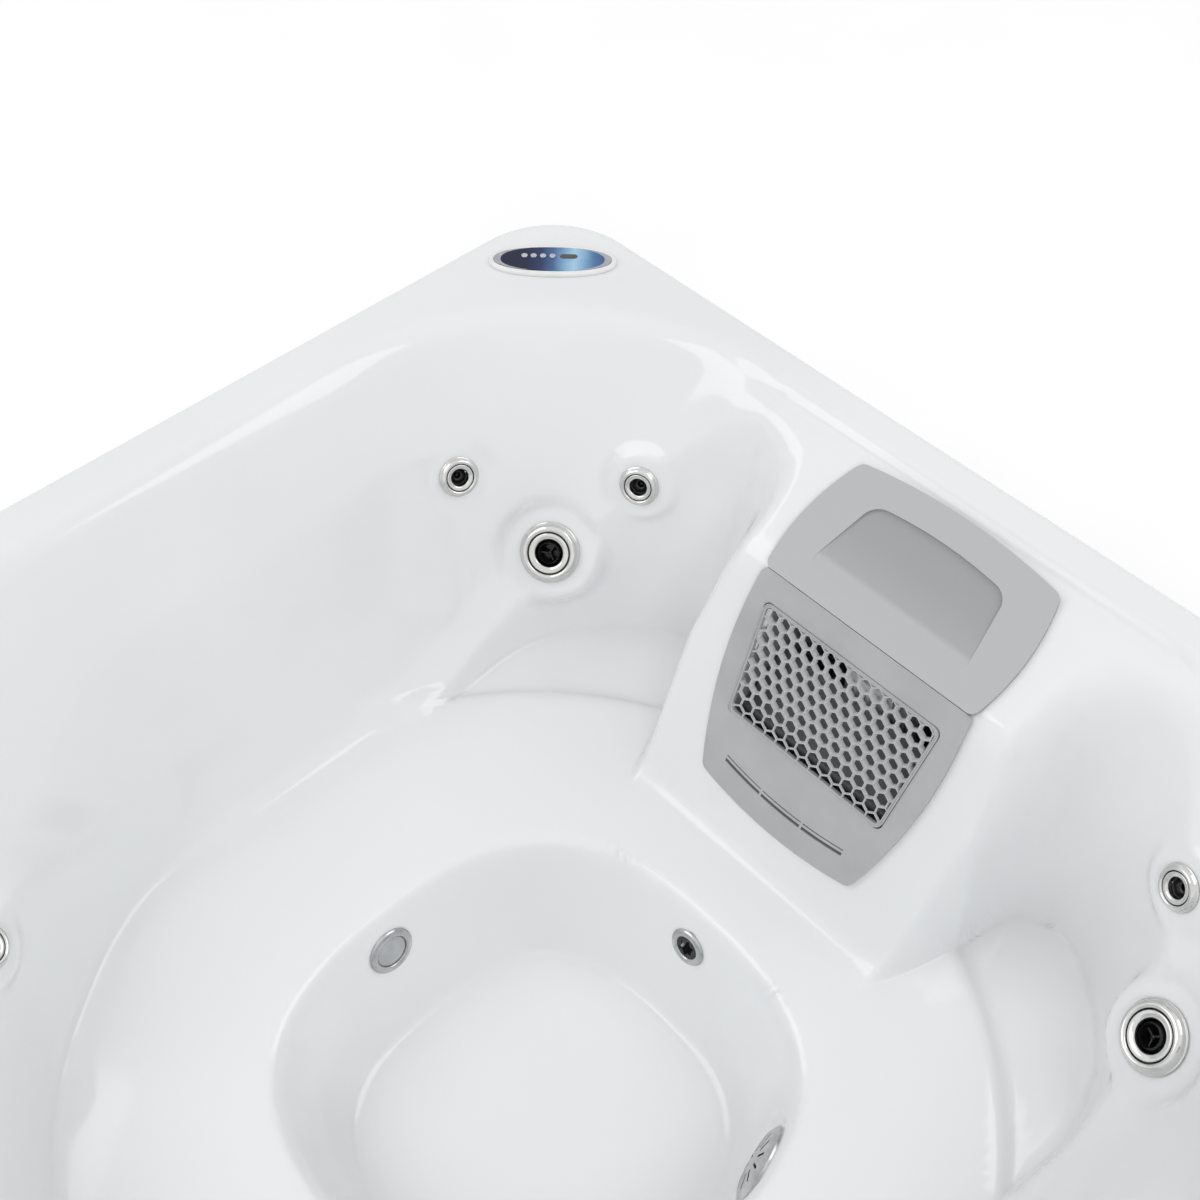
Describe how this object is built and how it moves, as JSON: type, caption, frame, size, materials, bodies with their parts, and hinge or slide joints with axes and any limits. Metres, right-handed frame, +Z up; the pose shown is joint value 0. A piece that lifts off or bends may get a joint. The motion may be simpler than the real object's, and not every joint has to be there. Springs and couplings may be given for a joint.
{
  "type": "hot tub",
  "caption": "Square moulded hot tub with raised corner pads, corner seats with jets, round footwell, grey filter tower with honeycomb intake, control panel and plank cabinet.",
  "frame": {"origin": "middle of the square footprint, on the ground", "axes": "+Z up, -Y towards the filter tower and the removable front panel, +X towards the right side seen from behind the filter tower"},
  "size_m": [1.52, 1.52, 0.7452],
  "materials": {
    "acrylic": "polished white acrylic",
    "cover_grey": "satin light grey moulding",
    "dark_plastic": "dark grey moulding, matt",
    "stainless": "satin stainless steel",
    "chrome": "polished bright metal",
    "black_plastic": "black moulding, semi-matt",
    "filter_paper": "pleated white filter fleece",
    "lens": "frosted clear lens",
    "panel_white": "white moulding, satin",
    "panel_blue": "blue printed film, semi-gloss",
    "display": "black display window",
    "button_silver": "silver grey, satin",
    "cabinet_slate": "slate grey plank moulding, light grain",
    "timber": "planed softwood",
    "foam": "pale foam board",
    "white_pipe": "white rigid plastic",
    "hose": "translucent grey hose",
    "motor_paint": "dark painted casting",
    "rotor_steel": "turned steel"
  },
  "bodies": {
    "tub": {"acrylic_shell": "acrylic", "filter_plate": "cover_grey", "honeycomb_grille": "cover_grey", "filter_housing": "dark_plastic", "weir_pin": "stainless", "jet_fittings": "dark_plastic", "footwell_housings": "dark_plastic", "light_ring": "stainless", "light_lens": "lens", "return_ring": "stainless", "return_insert": "black_plastic", "suction_covers": "stainless", "panel_bezel": "panel_white", "panel_overlay": "panel_blue", "panel_window": "display", "panel_housing": "dark_plastic", "base_pan": "dark_plastic", "corner_trims": "dark_plastic", "panel_back": "cabinet_slate", "panel_left": "cabinet_slate", "panel_right": "cabinet_slate", "frame_posts": "timber", "frame_rails": "timber", "insulation_sheets": "foam", "well_support": "foam", "manifolds": "white_pipe", "water_hoses": "hose", "pump_volute": "black_plastic", "pump_motor": "motor_paint", "suction_pipes": "white_pipe", "heater_tube": "stainless", "heater_nuts": "white_pipe", "control_box": "dark_plastic", "control_box_lid": "black_plastic", "cable_gland": "black_plastic", "return_pipes": "white_pipe", "drain_body": "white_pipe"},
    "jet_face_small_1": {"jet_face_small_1": "chrome"},
    "jet_face_small_2": {"jet_face_small_2": "chrome"},
    "jet_face_small_3": {"jet_face_small_3": "chrome"},
    "jet_face_small_4": {"jet_face_small_4": "chrome"},
    "jet_face_small_5": {"jet_face_small_5": "chrome"},
    "jet_face_small_6": {"jet_face_small_6": "chrome"},
    "jet_face_small_7": {"jet_face_small_7": "chrome"},
    "jet_face_small_8": {"jet_face_small_8": "chrome"},
    "jet_face_large_1": {"jet_face_large_1": "chrome"},
    "jet_nozzle_large_1": {"jet_nozzle_large_1": "black_plastic"},
    "jet_face_large_2": {"jet_face_large_2": "chrome"},
    "jet_nozzle_large_2": {"jet_nozzle_large_2": "black_plastic"},
    "filter_lid": {"filter_lid": "cover_grey"},
    "weir_flap": {"weir_flap": "dark_plastic"},
    "filter_cartridge": {"filter_cartridge": "filter_paper"},
    "panel_button_1": {"panel_button_1": "button_silver"},
    "panel_button_2": {"panel_button_2": "button_silver"},
    "panel_button_3": {"panel_button_3": "button_silver"},
    "panel_button_4": {"panel_button_4": "button_silver"},
    "front_panel": {"panel_front": "cabinet_slate", "panel_screws": "stainless"},
    "pump_rotor": {"pump_rotor": "rotor_steel"},
    "drain_cap": {"drain_cap": "white_pipe"}
  },
  "joints": [
    {"name": "jet_face_small_1_turn", "type": "hinge", "parent": "tub", "child": "jet_face_small_1", "pos_m": [0.57831, -0.41709, 0.572], "axis": [-0.8592, 0.2667, 0.4367], "range_deg": [-45, 45]},
    {"name": "jet_face_small_2_turn", "type": "hinge", "parent": "tub", "child": "jet_face_small_2", "pos_m": [0.40586, -0.57534, 0.572], "axis": [-0.3987, 0.8425, 0.3622], "range_deg": [-45, 45]},
    {"name": "jet_face_small_3_turn", "type": "hinge", "parent": "tub", "child": "jet_face_small_3", "pos_m": [-0.40586, -0.57534, 0.572], "axis": [0.3987, 0.8425, 0.3622], "range_deg": [-45, 45]},
    {"name": "jet_face_small_4_turn", "type": "hinge", "parent": "tub", "child": "jet_face_small_4", "pos_m": [-0.57831, -0.41709, 0.572], "axis": [0.8592, 0.2667, 0.4367], "range_deg": [-45, 45]},
    {"name": "jet_face_small_5_turn", "type": "hinge", "parent": "tub", "child": "jet_face_small_5", "pos_m": [0.26602, 0.47991, 0.544], "axis": [-0.4177, -0.7642, 0.4914], "range_deg": [-45, 45]},
    {"name": "jet_face_small_6_turn", "type": "hinge", "parent": "tub", "child": "jet_face_small_6", "pos_m": [0.40833, 0.36766, 0.544], "axis": [-0.594, -0.5314, 0.6039], "range_deg": [-45, 45]},
    {"name": "jet_face_small_7_turn", "type": "hinge", "parent": "tub", "child": "jet_face_small_7", "pos_m": [-0.40833, 0.36766, 0.544], "axis": [0.594, -0.5314, 0.6039], "range_deg": [-45, 45]},
    {"name": "jet_face_small_8_turn", "type": "hinge", "parent": "tub", "child": "jet_face_small_8", "pos_m": [-0.26602, 0.47991, 0.544], "axis": [0.4177, -0.7642, 0.4914], "range_deg": [-45, 45]},
    {"name": "jet_face_large_1_turn", "type": "hinge", "parent": "tub", "child": "jet_face_large_1", "pos_m": [0.47357, -0.47855, 0.464], "axis": [-0.4233, 0.6651, 0.6153], "range_deg": [-45, 45]},
    {"name": "jet_nozzle_large_1_tilt", "type": "hinge", "parent": "jet_face_large_1", "child": "jet_nozzle_large_1", "pos_m": [0.47314, -0.47789, 0.46462], "axis": [-0.8436, -0.5369, 0], "range_deg": [-12, 12]},
    {"name": "jet_face_large_2_turn", "type": "hinge", "parent": "tub", "child": "jet_face_large_2", "pos_m": [-0.47357, -0.47855, 0.464], "axis": [0.4233, 0.6651, 0.6153], "range_deg": [-45, 45]},
    {"name": "jet_nozzle_large_2_tilt", "type": "hinge", "parent": "jet_face_large_2", "child": "jet_nozzle_large_2", "pos_m": [-0.47314, -0.47789, 0.46462], "axis": [-0.8436, 0.5369, 0], "range_deg": [-12, 12]},
    {"name": "filter_lid_lift", "type": "slide", "parent": "tub", "child": "filter_lid", "axis": [0, 0.4384, 0.8988], "range_m": [0, 0.2]},
    {"name": "weir_flap_swing", "type": "hinge", "parent": "tub", "child": "weir_flap", "pos_m": [0, -0.47334, 0.48304], "axis": [-1, 0, 0], "range_deg": [0, 27]},
    {"name": "filter_cartridge_turn", "type": "hinge", "parent": "tub", "child": "filter_cartridge", "pos_m": [0, -0.59792, 0.46], "axis": [0, 0, 1], "range_deg": [0, 360]},
    {"name": "panel_button_1_press", "type": "slide", "parent": "tub", "child": "panel_button_1", "axis": [0, 0, -1], "range_m": [0, 0.0008], "stiffness_N_per_m": 600, "springref_m": -0.0004},
    {"name": "panel_button_2_press", "type": "slide", "parent": "tub", "child": "panel_button_2", "axis": [0, 0, -1], "range_m": [0, 0.0008], "stiffness_N_per_m": 600, "springref_m": -0.0004},
    {"name": "panel_button_3_press", "type": "slide", "parent": "tub", "child": "panel_button_3", "axis": [0, 0, -1], "range_m": [0, 0.0008], "stiffness_N_per_m": 600, "springref_m": -0.0004},
    {"name": "panel_button_4_press", "type": "slide", "parent": "tub", "child": "panel_button_4", "axis": [0, 0, -1], "range_m": [0, 0.0008], "stiffness_N_per_m": 600, "springref_m": -0.0004},
    {"name": "front_panel_off", "type": "slide", "parent": "tub", "child": "front_panel", "axis": [0, -1, 0], "range_m": [0, 0.25]},
    {"name": "pump_rotor_spin", "type": "hinge", "parent": "tub", "child": "pump_rotor", "pos_m": [-0.4, -0.605, 0.128], "axis": [1, 0, 0], "continuous": true},
    {"name": "drain_cap_turn", "type": "hinge", "parent": "tub", "child": "drain_cap", "pos_m": [-0.755, 0.26, 0.082], "axis": [-1, 0, 0], "range_deg": [0, 360]}
  ]
}
